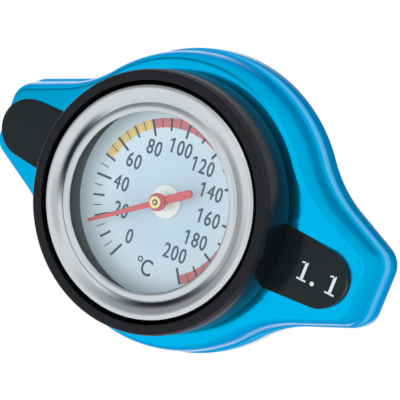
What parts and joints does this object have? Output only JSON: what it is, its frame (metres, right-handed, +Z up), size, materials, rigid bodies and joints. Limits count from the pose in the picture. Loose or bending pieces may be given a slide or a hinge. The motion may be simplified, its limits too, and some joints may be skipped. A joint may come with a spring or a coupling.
{
  "type": "radiator cap thermometer",
  "caption": "Winged blue radiator cap with a round dial thermometer in a black cup on top, a bayonet shell, a sprung pressure and vacuum valve and a temperature probe underneath.",
  "frame": {"origin": "on the cap axis, on the plane where the filler neck's rim meets the upper gasket", "axes": "+Z up along the cap axis, +X along the wing whose inlay carries the pressure number"},
  "size_m": [0.0832, 0.0572, 0.051],
  "materials": {
    "blue_anodised": "gloss anodised",
    "black_plastic": "satin",
    "case_steel": "satin",
    "bezel_steel": "polished",
    "glass": "clear",
    "rubber": "matte",
    "dark_plastic": "satin",
    "dial_paint": "matte printed",
    "white_plastic": "satin",
    "brass": "turned",
    "pointer_red": "matte",
    "stainless": "satin",
    "bimetal": "rolled strip",
    "plated_steel": "zinc plated",
    "spring_steel": "drawn wire",
    "nylon": "satin"
  },
  "bodies": {
    "cap": {"wing_cover": "blue_anodised", "gauge_cup": "black_plastic", "gauge_case": "case_steel", "bezel_ring": "bezel_steel", "glass_lens": "glass", "lens_gasket": "rubber", "spacer_ring": "dark_plastic", "dial_plate": "dial_paint", "dial_washer": "white_plastic", "upper_bush": "brass", "lower_bush": "brass", "stem_tube": "stainless", "stem_plug": "stainless", "stem_oring": "rubber", "cap_shell": "plated_steel", "centre_rivet": "brass", "swivel_washer": "nylon"},
    "pointer_group": {"pointer": "pointer_red", "pointer_boss": "brass", "pointer_spindle": "stainless", "bimetal_helix": "bimetal"},
    "valve_carrier": {"diaphragm_disc": "stainless", "neck_gasket": "rubber", "spring_cage": "plated_steel", "pressure_spring": "spring_steel"},
    "pressure_valve": {"spring_hat": "plated_steel", "valve_plate": "plated_steel", "valve_gasket": "rubber", "vacuum_spring": "spring_steel"},
    "vacuum_valve": {"vacuum_disc": "brass", "vacuum_clip": "stainless"}
  },
  "joints": [
    {"name": "pointer_turn", "type": "hinge", "parent": "cap", "child": "pointer_group", "pos_m": [0, 0, 0], "axis": [0, 0, -1], "range_deg": [-27, 273], "stiffness_Nm_per_rad": 0.0002},
    {"name": "valve_swivel", "type": "hinge", "parent": "cap", "child": "valve_carrier", "pos_m": [0, 0, 0], "axis": [0, 0, 1], "continuous": true},
    {"name": "pressure_valve_lift", "type": "slide", "parent": "valve_carrier", "child": "pressure_valve", "axis": [0, 0, 1], "range_m": [0, 0.0025], "stiffness_N_per_m": 3000, "deforming": ["pressure_spring"]},
    {"name": "vacuum_valve_drop", "type": "slide", "parent": "pressure_valve", "child": "vacuum_valve", "axis": [0, 0, -1], "range_m": [0, 0.0015], "stiffness_N_per_m": 60, "springref_m": -0.001, "deforming": ["vacuum_spring"]}
  ]
}
